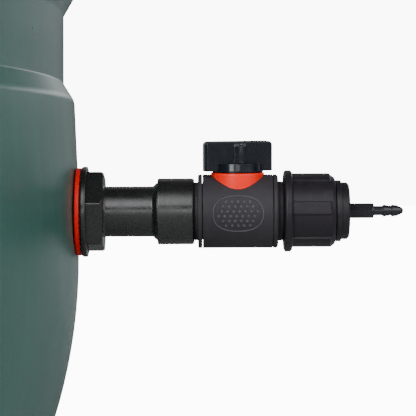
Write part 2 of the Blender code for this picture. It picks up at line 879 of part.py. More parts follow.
def make_wall_seals(shop, tap):
    outside = ring(
        shop, "outer_washer", tap, RED_RUBBER, GAP, WASHER_THICK, WASHER_R, WASHER_HOLE_R, steps=32
    )
    high = -WALL - GAP
    low = high - INNER_WASHER_THICK
    inside = ring(shop, "inner_washer", tap, BLACK_RUBBER, low, high, WASHER_R, WASHER_HOLE_R)
    shop.finish(outside, inside)


def main():
    clear_scene()
    shop = Workshop()
    base = shop.empty("barrel_base", (0, 0, 0))
    rim = shop.empty("rim_level", (0, 0, RIM_TOP))
    tap = shop.empty("tap_axis", (BARREL_R, 0, TAP_HEIGHT), (0, 90, 0))
    valve = shop.empty("valve_middle", (BARREL_R + VALVE_MID, 0, TAP_HEIGHT), (VALVE_ROLL, 0, 0))
    handle = shop.empty("handle_axis", (0, 0, 0), (0, 0, HANDLE_TURN), valve)
    overflow = shop.empty("overflow_axis", (-BARREL_R, 0, OVERFLOW_HEIGHT), (0, -90, 0))

    make_barrel(shop, base, tap, overflow)
    make_lid(shop, rim)
    make_leaf_screen(shop, rim)
    make_wall_seals(shop, tap)
    make_tank_connector(shop, tap)
    make_back_nut(shop, "tank_back_nut", tap, -WALL - INNER_WASHER_THICK - 2 * GAP)
    make_valve_body(shop, tap, valve)
    make_valve_ends(shop, tap)
    make_seats(shop, tap)
    make_ball(shop, handle)
    make_stem(shop, handle)
    make_collar(shop, tap, valve)
    make_knob(shop, handle)
    make_swivel_nut(shop, tap)
    make_outlet_tail(shop, tap)
    make_overflow(shop, overflow)
    make_back_nut(shop, "overflow_back_nut", overflow, -WALL - GAP)


main()
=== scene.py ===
"""Looks of the rain barrel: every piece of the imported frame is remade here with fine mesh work.

Outlines are lists of (place along the axis, radius, fillet) in millimetres. Pieces of the tap count
their places from the barrel's outer face, and the handle's heights are counted from the tap's axis.
"""

import json
import math

import bmesh
import bpy
from mathutils import Matrix, Vector


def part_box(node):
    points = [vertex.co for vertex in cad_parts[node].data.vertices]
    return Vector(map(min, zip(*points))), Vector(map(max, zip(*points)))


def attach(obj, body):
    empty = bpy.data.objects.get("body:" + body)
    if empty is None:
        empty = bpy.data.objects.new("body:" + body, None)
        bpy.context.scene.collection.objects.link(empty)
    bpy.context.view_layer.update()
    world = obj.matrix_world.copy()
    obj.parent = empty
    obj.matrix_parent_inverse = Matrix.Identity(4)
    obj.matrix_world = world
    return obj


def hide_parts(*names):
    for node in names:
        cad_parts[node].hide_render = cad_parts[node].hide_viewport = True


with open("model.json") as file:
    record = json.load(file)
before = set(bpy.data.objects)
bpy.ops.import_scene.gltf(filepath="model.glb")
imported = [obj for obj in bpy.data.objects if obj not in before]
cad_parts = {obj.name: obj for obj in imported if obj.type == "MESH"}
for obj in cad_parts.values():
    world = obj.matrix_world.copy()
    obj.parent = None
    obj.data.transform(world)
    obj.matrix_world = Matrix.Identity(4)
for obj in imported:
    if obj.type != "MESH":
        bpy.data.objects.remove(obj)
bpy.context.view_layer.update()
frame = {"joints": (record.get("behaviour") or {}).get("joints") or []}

MM = 0.001
GAP = 0.3
POINT_R = 1e-6  # an outline that comes this near to the axis ends in one vertex

# Places read from the frame
SHELL_LOW, SHELL_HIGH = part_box("barrel_shell")
CONNECTOR_LOW, CONNECTOR_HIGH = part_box("tank_connector")
WALL_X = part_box("outer_washer")[0].x - GAP * MM
TAP_Z = (CONNECTOR_LOW.z + CONNECTOR_HIGH.z) / 2
BODY_LOW, BODY_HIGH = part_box("valve_body")
VALVE_X = (BODY_LOW.x + BODY_HIGH.x) / 2
OVERFLOW_LOW, OVERFLOW_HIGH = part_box("overflow_spigot")
OVERFLOW_Z = (OVERFLOW_LOW.z + OVERFLOW_HIGH.z) / 2
RIM_Z = SHELL_HIGH.z
HANDLE_JOINT = next(joint for joint in frame["joints"] if joint["name"] == "handle_turn")

BARREL_R = WALL_X / MM
TAP_HEIGHT = TAP_Z / MM
RIM_HEIGHT = RIM_Z / MM
WALL = 4.0
BASE_R = 258.0
RIM_R = 276.0
BELLY_DROP = 22.0  # below the tap's axis, where the wall starts to curve in towards the foot
BELLY_ARC = 250.0
HOOP_RISE = 59.0  # from the tap's axis up to the lowest hoop groove
HOOP_PITCH = 235.0
HOOP_COUNT = 3
WASHER_HOLE_R = 13.6
VALVE_MID = (VALVE_X - WALL_X) / MM
VALVE_R = 16.9
VALVE_HALF = 16.0  # half of the casing's length
VALVE_FLOW_R = 7.5
THREAD_R = 13.2
THREAD_PITCH = 1.814
THREAD_DEPTH = 1.1
THREAD_NEAR = 0.9  # how near to THREAD_R an outline lies where it is threaded
THREAD_STEEP = 1.25  # of the flanks
THREAD_CREST = 0.12  # share of the depth that is taken off, which leaves a flat crest
FITTING_BORE_R = 13.31  # over the socket's bore, so that only the outside gets a parting line
VALVE_ROLL = math.degrees(math.asin(-HANDLE_JOINT["axis"][1]))
HANDLE_TURN = -HANDLE_JOINT["range_deg"][0]

TAP_AXIS = Matrix.Translation((WALL_X, 0, TAP_Z)) @ Matrix.Rotation(math.pi / 2, 4, "Y")
VALVE_AXIS = Matrix.Translation((VALVE_X, 0, TAP_Z)) @ Matrix.Rotation(math.radians(VALVE_ROLL), 4, "X")
HANDLE_AXIS = VALVE_AXIS @ Matrix.Rotation(math.radians(HANDLE_TURN), 4, "Z")
OVERFLOW_AXIS = Matrix.Translation((-WALL_X, 0, OVERFLOW_Z)) @ Matrix.Rotation(-math.pi / 2, 4, "Y")
BARREL_AXIS = Matrix.Identity(4)
RIM_AXIS = Matrix.Translation((0, 0, RIM_Z))
TO_CAMERA = -90.0  # the angle about the tap's axis that faces the camera
PARTING = TO_CAMERA - 11.3  # where the connector's mould halves met

# The camera, in metres and degrees
LENS = 146.7  # millimetres
CAMERA_DISTANCE = 0.78
CAMERA_RAISED = 0.5
CAMERA_ROLL = -0.23
AIM_OUT = 0.0603  # from the barrel's wall
AIM_UP = 0.0015  # from the tap's axis

# The studio. A soft box is its strength, then (start, end) of its left edge and of its right edge in
# azimuth, and of its foot and of its head in elevation; it fades from one to the other.
BACK_SOFTBOX_PLACE = (-0.2, 2.2, 1.8)
BACK_SOFTBOX_SIZE = (1.6, 1.2)
BACK_SOFTBOX_WATTS = 2
SKY_TINT = (0.97, 0.98, 1.0, 1.0)
FLOOR_GREY = (0.5, 0.5, 0.5, 1.0)
FLOOR_ROUGHNESS = 0.8
FLOOR_DROP = 0.0004  # keeps the floor clear of the barrel's foot
AMBIENT = 0.05
BACKDROP = 12.0
FLOOR_GLOW = BACKDROP - 0.5  # seen by the camera only; lit, the floor matches the backdrop
SOFT_BOXES = [
    (6.8, ((-42, -30), (1, -7)), (18, 26), (70, 36)),
    (12.0, ((-85, -70), (-15, -23)), (-10, -2), (32, 8)),
    (2.6, ((10, 18), (85, 70)), (0, 14), (62, 38)),
    (4.5, ((-14, -7), (14, 7)), (-5, -1), (9, 4)),
    (2.1, ((110, 145), (177, 168)), (7, 10), (16, 12)),
    (0.8, ((-168, -155), (-105, -135)), (-12, 0), (30, 10)),
    (0.34, ((95, 125), (177, 168)), (-8, 2), (45, 15)),
]


# ---------------------------------------------------------------- meshes


def rounded(outline, closed=False, steps=5):
    """Replaces each corner of the outline that has a fillet by an arc, and drops the fillets."""
    points = [Vector((point[0], point[1])) for point in outline]
    fillets = [point[2] if len(point) > 2 else 0.0 for point in outline]
    count = len(points)
    line = []
    for i in range(count):
        corner = points[i]
        ends = not closed and i in (0, count - 1)
        back = points[i - 1] - corner
        ahead = points[(i + 1) % count] - corner
        if ends or fillets[i] <= 0 or back.length < 1e-6 or ahead.length < 1e-6:
            line.append(corner)
            continue
        half = back.angle(ahead) / 2
        if half > math.radians(89.5):
            line.append(corner)
            continue
        reach = min(fillets[i] / math.tan(half), 0.48 * back.length, 0.48 * ahead.length)
        centre = corner + (back.normalized() + ahead.normalized()).normalized() * (reach / math.cos(half))
        start = corner + back.normalized() * reach - centre
        end = corner + ahead.normalized() * reach - centre
        turn = start.angle_signed(end)
        for step in range(steps + 1):
            line.append(centre + Matrix.Rotation(-turn * step / steps, 2) @ start)
    return [(point.x, point.y) for point in line]


def skin_into(bm, rings, closed=False):
    """Joins rings of as many vertices; closed joins the last to the first, otherwise see cap_into."""
    for low, high in zip(rings, [*rings[1:], rings[0]] if closed else rings[1:]):
        for i in range(len(low)):
            j = (i + 1) % len(low)
            bm.faces.new((low[i], low[j], high[j], high[i]))


def cap_into(bm, rings):
    bm.faces.new(rings[0][::-1])
    bm.faces.new(rings[-1])


def resample(line, step):
    """Adds points so that no stretch of the line is longer than step."""
    dense = []
    for start, end in zip(line, line[1:]):
        parts = max(1, math.ceil(math.dist(start, end) / step))
        for part in range(parts):
            share = part / parts
            dense.append((start[0] + (end[0] - start[0]) * share, start[1] + (end[1] - start[1]) * share))
    dense.append(line[-1])
    return dense


def revolve_into(bm, line, matrix, segments, closed, shape=None, first_angle=0.0):
    """Turns a line of (place, radius) about the matrix's Z axis. shape changes a radius by angle."""
    rings = []
    for place, radius in line:
        if radius < POINT_R:
            rings.append([bm.verts.new(matrix @ Vector((0, 0, place * MM)))])
            continue
        ring = []
        for i in range(segments):
            angle = first_angle + 360.0 * i / segments
            size = shape(place, radius, angle) if shape else radius
            turn = math.radians(angle)
            ring.append(
                bm.verts.new(
                    matrix @ Vector((size * math.cos(turn) * MM, size * math.sin(turn) * MM, place * MM))
                )
            )
        rings.append(ring)
    pairs = list(zip(rings, rings[1:]))
    if closed:
        pairs.append((rings[-1], rings[0]))
    for low, high in pairs:
        for i in range(segments):
            j = (i + 1) % segments
            if len(low) == 1 and len(high) == 1:
                break
            if len(low) == 1:
                bm.faces.new((low[0], high[j], high[i]))
            elif len(high) == 1:
                bm.faces.new((low[i], low[j], high[0]))
            else:
                bm.faces.new((low[i], low[j], high[j], high[i]))


def merge_into(bm, made):
    """Adds the faces of another bmesh, and frees it."""
    mesh = bpy.data.meshes.new("merged")
    made.to_mesh(mesh)
    made.free()
    bm.from_mesh(mesh)
    bpy.data.meshes.remove(mesh)


def box_into(bm, size, centre, matrix, bevel=0.0):
    """Adds a box with rounded edges; sizes are millimetres in the matrix's frame."""
    block = bmesh.new()
    bmesh.ops.create_cube(
        block,
        size=1.0,
        matrix=Matrix.Translation([v * MM for v in centre]) @ Matrix.Diagonal([*(v * MM for v in size), 1]),
    )
    if bevel > 0:
        bmesh.ops.bevel(
            block, geom=block.edges[:], offset=bevel * MM, segments=3, profile=0.5, affect="EDGES"
        )
    bmesh.ops.transform(block, matrix=matrix, verts=block.verts[:])
    merge_into(bm, block)


def finish_object(name, bm, sharp=32.0, fix_normals=True):
    """Turns bm into a linked object that is smooth but for its sharp edges."""
    if fix_normals:
        bmesh.ops.recalc_face_normals(bm, faces=bm.faces[:])
    mesh = bpy.data.meshes.new(name)
    bm.to_mesh(mesh)
    bm.free()
    mesh.shade_smooth()
    mesh.set_sharp_from_angle(angle=math.radians(sharp))
    obj = bpy.data.objects.new(name, mesh)
    bpy.context.scene.collection.objects.link(obj)
    return obj


def box(name, size, centre, matrix, bevel=0.0):
    bm = bmesh.new()
    box_into(bm, size, centre, matrix, bevel)
    return finish_object(name, bm)


def turned(name, outer, inner, matrix, segments=128, shape=None, step=None, first_angle=0.0):
    """A turned piece. outer and inner run from low place to high; without inner it is solid."""
    if inner:
        line = rounded([*outer, *reversed(inner)], closed=True)
        line.append(line[0])
    else:
        line = rounded([(outer[0][0], 0.0), *outer, (outer[-1][0], 0.0)])
    if step:
        line = resample(line, step)
    if inner:
        line.pop()
    bm = bmesh.new()
    revolve_into(bm, line, matrix, segments, bool(inner), shape, first_angle)
    return finish_object(name, bm)


def combine(name, target, others, operation="UNION"):
    """Joins or cuts target by the other objects for good, and removes them."""
    for other in others:
        step = target.modifiers.new("combine", "BOOLEAN")
        step.operation = operation
        step.solver = "EXACT"
        step.object = other
    graph = bpy.context.evaluated_depsgraph_get()
    mesh = bpy.data.meshes.new_from_object(target.evaluated_get(graph))
    target.modifiers.clear()
    target.data = mesh
    target.name = name
    mesh.shade_smooth()
    mesh.set_sharp_from_angle(angle=math.radians(32))
    for other in others:
        bpy.data.objects.remove(other, do_unlink=True)


def smooth_step(low, high, value):
    share = min(1.0, max(0.0, (value - low) / (high - low)))
    return share * share * (3 - 2 * share)


def thread_shape(low, high):
    """A radius function that cuts a pipe thread between two places, fading at the high end."""

    def shape(place, radius, angle):
        if not low < place < high or abs(radius - THREAD_R) > THREAD_NEAR:
            return radius
        phase = ((place - low) / THREAD_PITCH - angle / 360.0) % 1.0
        groove = 1 - abs(2 * phase - 1)
        fade = smooth_step(high, high - THREAD_PITCH, place)
        cut = min(1.0, max(0.0, THREAD_STEEP * groove - THREAD_CREST))
        return radius - THREAD_DEPTH * fade * cut

    return shape


def polygon_radius(across, angle, sides=6, first=0.0):
    """The distance to the side of a regular polygon, across its flats; a corner lies at first."""
    pitch = 360.0 / sides
    off = (angle - first) % pitch - pitch / 2
    return across / 2 / math.cos(math.radians(off))


# ---------------------------------------------------------------- materials


class Paint:
    """A small helper for writing node materials."""

    def __init__(self, name):
        self.material = bpy.data.materials.new(name)
        self.material.use_nodes = True
        self.tree = self.material.node_tree
        self.shader = self.tree.nodes["Principled BSDF"]
        coords = self.tree.nodes.new("ShaderNodeTexCoord")
        self.place = coords.outputs["Object"]

    def node(self, kind, inputs=None, **settings):
        made = self.tree.nodes.new(kind)
        for key, value in settings.items():
            setattr(made, key, value)
        for key, value in (inputs or {}).items():
            self.put(made.inputs[key], value)
        return made

    def put(self, socket, value):
        if isinstance(value, bpy.types.NodeSocket):
            self.tree.links.new(value, socket)
        else:
            socket.default_value = value

    def stretched(self, scale):
        return self.node("ShaderNodeMapping", {"Vector": self.place, "Scale": scale}).outputs["Vector"]

    def noise(self, scale, detail=2.0, stretch=None, roughness=0.5):
        vector = self.stretched(stretch) if stretch else self.place
        inputs = {"Vector": vector, "Scale": scale, "Detail": detail, "Roughness": roughness}
        return self.node("ShaderNodeTexNoise", inputs).outputs["Fac"]

    def cells(self, scale):
        inputs = {"Vector": self.place, "Scale": scale}
        return self.node("ShaderNodeTexVoronoi", inputs).outputs["Distance"]

    def remap(self, value, low, high, to_low=0.0, to_high=1.0):
        inputs = {"Value": value, "From Min": low, "From Max": high, "To Min": to_low, "To Max": to_high}
        return self.node("ShaderNodeMapRange", inputs).outputs["Result"]

    def mix(self, share, a, b):
        made = self.node("ShaderNodeMix", data_type="RGBA")
        self.put(made.inputs[0], share)
        self.put(made.inputs[6], a)
        self.put(made.inputs[7], b)
        return made.outputs[2]

    def math(self, operation, a, b):
        made = self.node("ShaderNodeMath", operation=operation)
        self.put(made.inputs[0], a)
        self.put(made.inputs[1], b)
        return made.outputs[0]

    def edge_wear(self):
        geometry = self.node("ShaderNodeNewGeometry")
        return self.remap(geometry.outputs["Pointiness"], 0.52, 0.62)

    def bump(self, height, distance, strength=1.0, normal=None):
        inputs = {"Height": height, "Distance": distance, "Strength": strength}
        if normal is not None:
            inputs["Normal"] = normal
        return self.node("ShaderNodeBump", inputs).outputs["Normal"]

    def finish(self, colour, roughness, normal, **plain):
        self.put(self.shader.inputs["Base Color"], colour)
        self.put(self.shader.inputs["Roughness"], roughness)
        if normal is not None:
            self.put(self.shader.inputs["Normal"], normal)
        for key, value in plain.items():
            self.shader.inputs[key.replace("_", " ")].default_value = value
        return self.material


def shade(colour, factor):
    return (*(channel * factor for channel in colour), 1.0)


def moulded(name, colour, roughness, grain=0.00002, wear=0.5, dust=0.02, **plain):
    """Injection-moulded plastic: slight tone drift, fine grain, handling scuffs and paler edges."""
    paint = Paint(name)
    drift = paint.noise(45.0, 3.0)
    base = paint.mix(drift, shade(colour, 0.88), shade(colour, 1.12))
    scuff = paint.remap(paint.noise(260.0, 4.0, (1.0, 1.0, 0.3), 0.65), 0.52, 0.78)
    pale = tuple(channel * 1.2 + 0.012 for channel in colour)
    base = paint.mix(paint.math("MULTIPLY", scuff, 0.35), base, shade(pale, 1.0))
    edges = paint.math("MULTIPLY", paint.edge_wear(), wear)
    base = paint.mix(edges, base, shade(tuple(c * 1.3 + 0.02 for c in colour), 1.0))
    specks = paint.remap(paint.cells(420.0), 0.09, 0.03, 0.0, dust * 10)
    base = paint.mix(specks, base, (0.16, 0.16, 0.15, 1.0))
    rough = paint.remap(paint.noise(180.0, 4.0), 0.25, 0.75, roughness - 0.06, roughness + 0.07)
    rough = paint.math("ADD", rough, paint.math("MULTIPLY", scuff, 0.08))
    fine = paint.noise(2600.0, 2.0)
    flow = paint.noise(120.0, 2.0)
    normal = paint.bump(flow, 0.00008, 0.35)
    normal = paint.bump(fine, grain, 1.0, normal)
    return paint.finish(base, rough, normal, **plain)


def barrel_plastic(name, colour):
    """Blow-moulded polyethylene: orange-peel skin, upright flow streaks, scuffs and pale specks."""
    paint = Paint(name)
    drift = paint.noise(5.0, 4.0)
    base = paint.mix(drift, shade(colour, 0.86), shade(colour, 1.14))
    streaks = paint.remap(paint.noise(95.0, 3.0, (1.0, 1.0, 0.05)), 0.45, 0.75)
    base = paint.mix(paint.math("MULTIPLY", streaks, 0.22), base, shade(colour, 1.5))
    specks = paint.remap(paint.cells(230.0), 0.085, 0.03)
    thin = paint.remap(paint.noise(14.0, 2.0), 0.5, 0.7)
    specks = paint.math("MULTIPLY", specks, paint.math("MULTIPLY", thin, 0.55))
    base = paint.mix(specks, base, (0.30, 0.36, 0.34, 1.0))
    scratch = paint.remap(paint.noise(60.0, 6.0, (1.0, 1.0, 0.35), 0.7), 0.60, 0.72)
    base = paint.mix(paint.math("MULTIPLY", scratch, 0.15), base, (0.16, 0.22, 0.20, 1.0))
    rough = paint.remap(paint.noise(22.0, 5.0), 0.25, 0.75, 0.26, 0.36)
    rough = paint.math("ADD", rough, paint.math("MULTIPLY", scratch, 0.02))
    waves = paint.noise(11.0, 2.0, (1.0, 1.0, 0.5))
    peel = paint.noise(330.0, 3.0)
    normal = paint.bump(waves, 0.0012, 0.35)
    normal = paint.bump(peel, 0.00006, 0.8, normal)
    return paint.finish(base, rough, normal)


def rubber(name, colour, roughness, bloom=0.08):
    """Moulded rubber: matte, with a little bloom and a fine stipple."""
    paint = Paint(name)
    patches = paint.remap(paint.noise(150.0, 4.0), 0.42, 0.75, 0.0, bloom * 4)
    base = paint.mix(patches, shade(colour, 1.0), shade(tuple(c * 0.85 + bloom * 0.4 for c in colour), 1.0))
    rough = paint.remap(paint.noise(320.0, 3.0), 0.3, 0.7, roughness - 0.05, roughness + 0.08)
    normal = paint.bump(paint.noise(2200.0, 2.0), 0.000025)
    return paint.finish(base, rough, normal, Specular_IOR_Level=0.3)


def wire_steel(name):
    """Drawn stainless wire with fine lengthways marks."""
    paint = Paint(name)
    marks = paint.noise(900.0, 3.0)
    base = paint.mix(marks, (0.42, 0.43, 0.44, 1.0), (0.62, 0.63, 0.64, 1.0))
    rough = paint.remap(paint.noise(2500.0, 2.0), 0.3, 0.7, 0.24, 0.40)
    normal = paint.bump(marks, 0.00002)
    return paint.finish(base, rough, normal, Metallic=1.0)


def make_materials():
    gloss = {"grain": 0.000006, "wear": 0.3}
    recipes = {
        "black_fitting_plastic": ((0.010, 0.010, 0.0092), 0.27, 0.8, {"grain": 0.00001}),
        "nut_plastic": ((0.014, 0.012, 0.015), 0.33, 0.28, {}),
        "charcoal_valve_plastic": ((0.030, 0.028, 0.032), 0.55, 0.2, {}),
        # a paler plastic than the casing, for the grip pad's raised rim and dots
        "pale_pad_valve_plastic": ((0.062, 0.059, 0.065), 0.5, 0.3, {}),
        "blue_black_handle_plastic": ((0.006, 0.0085, 0.013), 0.15, 0.35, {**gloss, "wear": 0.25}),
        "barb_plastic": ((0.012, 0.0115, 0.015), 0.16, 0.5, gloss),
        "orange_collar_plastic": ((1.0, 0.014, 0.0), 0.36, 0.3, {"grain": 0.00001, "wear": 0.0, "dust": 0.0}),
        "white_seat_plastic": ((0.74, 0.74, 0.71), 0.35, 0.5, {"wear": 0.0}),
    }
    made = {
        name: moulded(name, colour, roughness, Specular_IOR_Level=level, **rest)
        for name, (colour, roughness, level, rest) in recipes.items()
    }
    made["green_polyethylene"] = barrel_plastic("green_polyethylene", (0.040, 0.125, 0.105))
    made["red_washer_rubber"] = rubber("red_washer_rubber", (1.0, 0.004, 0.001), 0.40, 0.01)
    made["black_seal_rubber"] = rubber("black_seal_rubber", (0.014, 0.014, 0.014), 0.55)
    made["screen_wire_steel"] = wire_steel("screen_wire_steel")
    return made


# ---------------------------------------------------------------- the pieces


def add(obj, node, body, material):
    """Gives a piece its material, and puts it in the place of its CAD node."""
    obj.data.materials.clear()
    obj.data.materials.append(MATERIALS[material])
    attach(obj, body)
    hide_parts(node)


def wall_line():
    """The barrel's outer outline from the foot to the rim, as (height, radius, fillet)."""
    belly = TAP_HEIGHT - BELLY_DROP
    foot = 10.0
    line = [(0.0, 180.0, 0.0), (0.0, BASE_R, 12.0)]
    for step in range(15):
        height = foot + (belly - foot) * step / 14
        inward = BELLY_ARC - math.sqrt(BELLY_ARC**2 - (belly - height) ** 2)
        line.append((height, BARREL_R - inward, 0.0))
    line.append((TAP_HEIGHT + 10.0, BARREL_R, 120.0))
    for index in range(HOOP_COUNT):
        groove = TAP_HEIGHT + HOOP_RISE + HOOP_PITCH * index
        line += [
            (groove - 7.2, BARREL_R - 1.7, 7.0),
            (groove + 0.9, BARREL_R - 6.8, 2.2),
            (groove + 33.9, BARREL_R - 6.7, 2.6),
            (groove + 45.2, BARREL_R - 0.3, 10.0),
        ]
        if index < HOOP_COUNT - 1:
            line.append((groove + 130.0, BARREL_R, 300.0))
    line += [
        (RIM_HEIGHT - 46.0, BARREL_R - 0.4, 12.0),
        (RIM_HEIGHT - 33.0, 277.5, 6.0),
        (RIM_HEIGHT - 26.0, RIM_R, 4.0),
    ]
    return line


def make_barrel():
    """The open shell: its outline, the rounded rim, the inside a wall's thickness in, and the floor."""
    outer = rounded([*wall_line(), (RIM_HEIGHT, RIM_R, 0.0)], steps=6)
    low = next(i for i, point in enumerate(outer) if point[0] > 0.01)
    inner = [(max(height, WALL), radius - WALL) for height, radius in outer[low:]]
    outer[-1] = (RIM_HEIGHT - 1.5, RIM_R)
    inner[-1] = (RIM_HEIGHT - 1.5, RIM_R - WALL)
    rim = [(RIM_HEIGHT - drop, RIM_R - tuck) for drop, tuck in ((0.4, 0.4), (0, 1.4), (0, 2.6), (0.4, 3.6))]
    floor = [(WALL, BASE_R), (WALL, 0.0)]
    line = [(0.0, 0.0), *outer, *rim, *reversed(inner), *floor]
    line = resample(line, 14.0)
    bm = bmesh.new()
    revolve_into(bm, line, BARREL_AXIS, 360, closed=False, first_angle=0.5)
    shell = finish_object("barrel_wall", bm)
    cutters = []
    for axis in (TAP_AXIS, OVERFLOW_AXIS):
        cutter = turned("hole_cutter", [(-20.0, THREAD_R + 0.5), (20.0, THREAD_R + 0.5)], None, axis, 64)
        cutters.append(cutter)
    combine("barrel_wall", shell, cutters, "DIFFERENCE")
    add(shell, "barrel_shell", "barrel", "green_polyethylene")


def make_lid():
    top = 4.0
    outer = [
        (-28.0, 281.5, 0.8),
        (-22.0, 281.5, 0.6),
        (-21.0, 280.6, 0.6),
        (0.0, 280.2, 0.6),
        (2.0, 281.2, 1.5),
        (top, 279.5, 1.5),
        (top, 258.5, 2.0),
        (-8.6, 254.0, 3.0),
        (-9.6, 220.0, 3.0),
        (-7.6, 216.0, 2.0),
        (-7.8, 206.0, 2.0),
        (-10.2, 202.0, 3.0),
        (-12.4, 132.0, 3.0),
        (-10.6, 128.0, 2.0),
        (-10.8, 118.0, 2.0),
        (-13.4, 114.0, 3.0),
        (-14.0, 99.0, 1.0),
        (-14.0, 85.0, 0.8),
    ]
    inner = [
        (-28.0, 278.7, 0.8),
        (GAP, 278.5, 2.0),
        (GAP, 264.5, 2.0),
        (-12.0, 256.5, 4.0),
        (-17.0, 99.0, 1.0),
        (-17.0, 85.0, 0.8),
    ]

    def ribbed(place, radius, angle):
        """Upright grip ribs round the outside of the skirt."""
        if radius < 280.0 or not -20.5 < place < 0.5:
            return radius
        wave = abs((angle % 7.5) / 7.5 - 0.5) * 2
        fade = smooth_step(-20.5, -18.0, place) * smooth_step(0.5, -2.0, place)
        return radius + 0.9 * fade * smooth_step(0.55, 0.8, wave)

    lid = turned("lid_cover", outer, inner, RIM_AXIS, 480, ribbed, step=6.0)
    add(lid, "lid", "lid", "green_polyethylene")


def make_leaf_screen():
    basket_top = -13.7
    floor = -66.0
    outer = [
        (floor - 2.0, 79.0, 1.2),
        (basket_top, 83.0, 0.6),
        (basket_top, 94.0, 0.8),
        (basket_top + 2.0, 94.0, 0.8),
        (basket_top + 2.0, 80.8, 1.0),
        (floor, 76.8, 1.2),
    ]
    line = rounded([(floor - 2.0, 0.0), *outer, (floor, 0.0)])
    bm = bmesh.new()
    revolve_into(bm, line, RIM_AXIS, 160, closed=False)
    basket = finish_object("leaf_screen_cup", bm)
    cell = 24.0
    slot = 19.0
    slots = bmesh.new()
    for column in range(-3, 4):
        for row in range(-3, 4):
            x = column * cell
            y = row * cell
            if math.hypot(abs(x) + slot / 2, abs(y) + slot / 2) < 69.0:
                box_into(slots, (slot, slot, 20.0), (x, y, floor), RIM_AXIS)
    combine("leaf_screen_cup", basket, [finish_object("slots", slots)], "DIFFERENCE")
    for bar in range(4):
        turn = RIM_AXIS @ Matrix.Rotation(math.pi / 4 + bar * math.pi / 2, 4, "Z")
        grip = box("grip", (9.0, 22.0, 3.0), (88.0, 0, basket_top + 2.6), turn, 0.9)
        combine("leaf_screen_cup", basket, [grip])
    add(basket, "leaf_screen_basket", "leaf_screen", "black_fitting_plastic")

    clamp = turned(
        "leaf_screen_clamp",
        [(floor + 1.4, 75.6, 0.4), (floor + 5.4, 75.6, 0.8)],
        [(floor + 1.4, 69.0, 0.4), (floor + 3.0, 69.0, 0.4), (floor + 5.4, 71.0, 0.8)],
        RIM_AXIS,
        160,
    )
    add(clamp, "leaf_screen_ring", "leaf_screen", "black_fitting_plastic")

    wires = bmesh.new()
    reach = 75.0
    pitch = 2.6
    count = int(reach / pitch)
    for direction in range(2):
        for index in range(-count, count + 1):
            offset = index * pitch
            half = math.sqrt(reach**2 - offset**2)
            points = []
            steps = max(2, int(2 * half / (pitch / 2)))
            for step in range(steps + 1):
                along = -half + 2 * half * step / steps
                wave = math.cos(math.pi * (along / pitch + index + direction))
                x, y = (along, offset) if direction == 0 else (offset, along)
                points.append(RIM_AXIS @ Vector((x * MM, y * MM, (floor + 0.75 + 0.2 * wave) * MM)))
            side = Vector((0, 1, 0)) if direction == 0 else Vector((1, 0, 0))
            tube_into(wires, points, 0.19, side, 5)
    screen = finish_object("leaf_screen_wire", wires)
    add(screen, "leaf_screen_mesh", "leaf_screen", "screen_wire_steel")


def tube_into(bm, points, radius, side, sides, closed=False):
    """Sweeps a small circle along points; side is a direction across all of them."""
    count = len(points)
    rings = []
    for i, point in enumerate(points):
        before = points[i - 1] if i or closed else point
        after = points[(i + 1) % count] if i < count - 1 or closed else point
        along = (after - before).normalized()
        across = (side - along * side.dot(along)).normalized()
        up = along.cross(across)
        ring = []
        for k in range(sides):
            angle = math.tau * k / sides
            ring.append(
                bm.verts.new(point + (across * math.cos(angle) + up * math.sin(angle)) * radius * MM)
            )
        rings.append(ring)
    skin_into(bm, rings, closed)
    if not closed:
        cap_into(bm, rings)


def make_wall_seals():
    red = "red_washer_rubber"
    black = "black_seal_rubber"
    for name, node, material, axis, low, high, radius, fillet, segments in (
        ("red_sealing_washer", "outer_washer", red, TAP_AXIS, 0.05, 2.28, 20.15, 0.5, 160),
        ("inner_sealing_washer", "inner_washer", black, TAP_AXIS, -6.8, -4.2, 20.0, 0.5, 128),
        ("overflow_sealing_washer", "overflow_washer", black, OVERFLOW_AXIS, 0.05, 2.28, 20.15, 0.4, 128),
    ):
        outer = [(low, radius, fillet), (high, radius, fillet)]
        inner = [(low, WASHER_HOLE_R, 0.2), (high, WASHER_HOLE_R, 0.2)]
        add(turned(name, outer, inner, axis, segments), node, "barrel", material)


def make_tank_connector():
    """Shank, flange, hexagon, tube and socket, moulded in one."""
    hex_low = 5.1
    hex_high = 12.6
    across = 33.6
    outer = [
        (-24.0, THREAD_R - 1.0, 0.3),
        (-23.0, THREAD_R, 0.2),
        (2.35, THREAD_R, 0.0),
        (2.35, 20.2, 0.3),
        (3.2, 20.8, 0.5),
        (hex_low, 20.8, 0.5),
        (hex_low, 19.3, 0.15),
        (hex_high - 1.0, 19.3, 0.5),
        (hex_high, 18.2, 0.4),
        (hex_high, 11.55, 0.9),
        (35.0, 11.55, 0.8),
        (37.0, 13.4, 0.2),
        (37.2, 13.4, 0.2),
        (37.2, 15.2, 0.45),
        (53.2, 15.2, 0.4),
        (54.0, 14.6, 0.3),
    ]
    inner = [
        (-24.0, 8.0, 0.5),
        (38.5, 8.0, 0.0),
        (38.5, 13.3, 0.2),
        (54.0, 13.3, 0.3),
    ]
    thread = thread_shape(-23.0, -7.0)

    def shape(place, radius, angle):
        if hex_low + 0.01 < place <= hex_high + 0.01 and radius > 12.6:
            return min(radius, polygon_radius(across, angle, first=PARTING))
        if place > hex_high and radius > FITTING_BORE_R:
            off = abs((angle - PARTING + 90.0) % 180.0 - 90.0)
            return radius + 0.015 * smooth_step(1.6, 0.0, off)
        return thread(place, radius, angle)

    piece = turned("tank_connector_body", outer, inner, TAP_AXIS, 360, shape, 0.45, PARTING)
    add(piece, "tank_connector", "barrel", "black_fitting_plastic")


